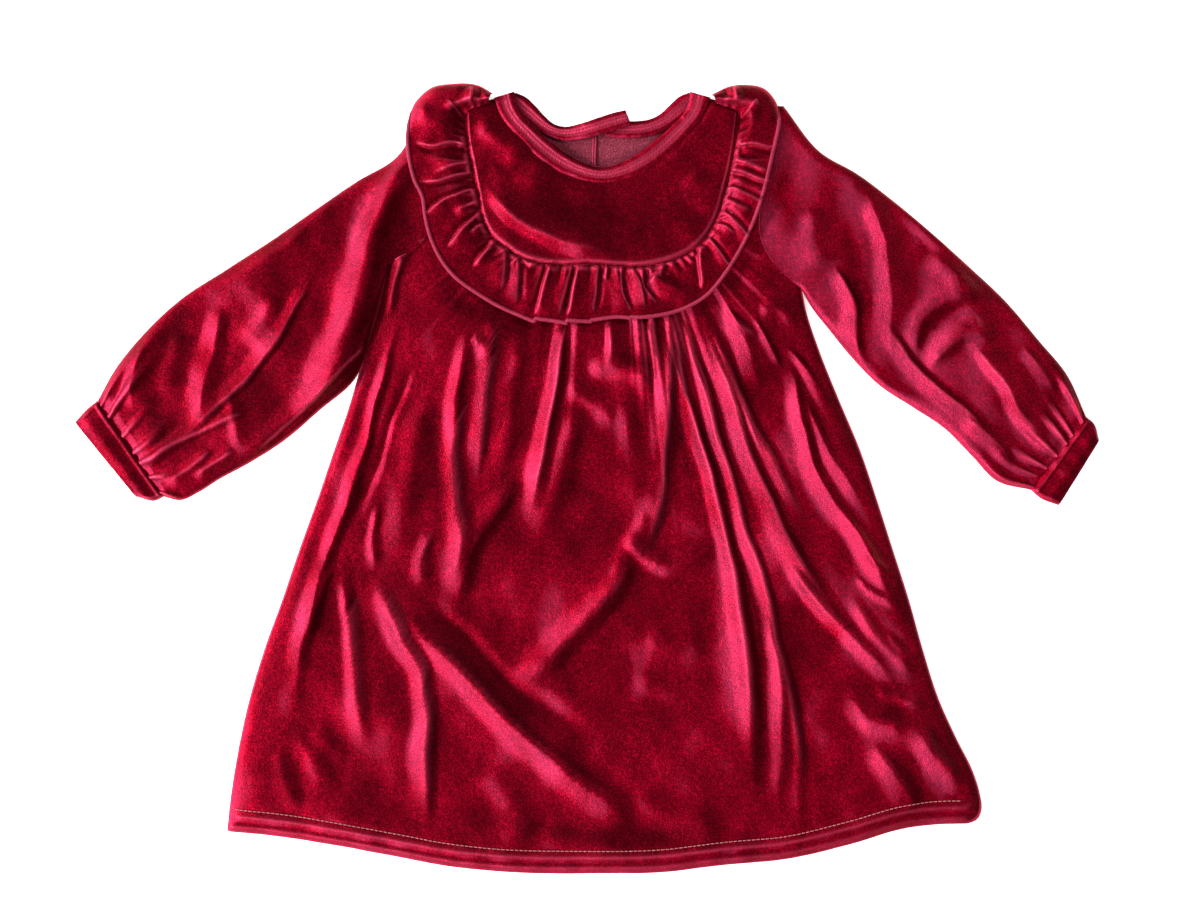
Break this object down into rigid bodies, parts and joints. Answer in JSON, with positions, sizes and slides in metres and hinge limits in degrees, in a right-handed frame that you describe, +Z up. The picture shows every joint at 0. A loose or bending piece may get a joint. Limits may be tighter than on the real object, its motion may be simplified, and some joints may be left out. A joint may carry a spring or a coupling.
{
  "type": "toddler party dress",
  "caption": "Long-sleeved toddler party dress with a ruffled round yoke, gathered skirt, gathered cuffs and bound neck, laid flat face up.",
  "frame": {"origin": "middle of the footprint, on the surface that the dress lies on", "axes": "+Y towards the neck, +Z up out of the front, +X to the right of the laid dress, the wearer's left"},
  "size_m": [0.718, 0.5532, 0.014],
  "materials": {
    "burgundy_velvet": "burgundy stretch velvet, short pile with a strong sheen",
    "velvet_wrong_side": "matt knitted wrong side of the velvet, dusty rose"
  },
  "bodies": {
    "root": {"front_skirt": "burgundy_velvet", "front_yoke": "burgundy_velvet", "ruffle": "burgundy_velvet", "sleeve_left": "burgundy_velvet", "sleeve_right": "burgundy_velvet", "cuff_left": "burgundy_velvet", "cuff_right": "burgundy_velvet", "neck_binding_front": "burgundy_velvet", "neck_binding_back_left": "burgundy_velvet", "neck_binding_back_right": "burgundy_velvet", "back_panel": "velvet_wrong_side"}
  },
  "joints": []
}
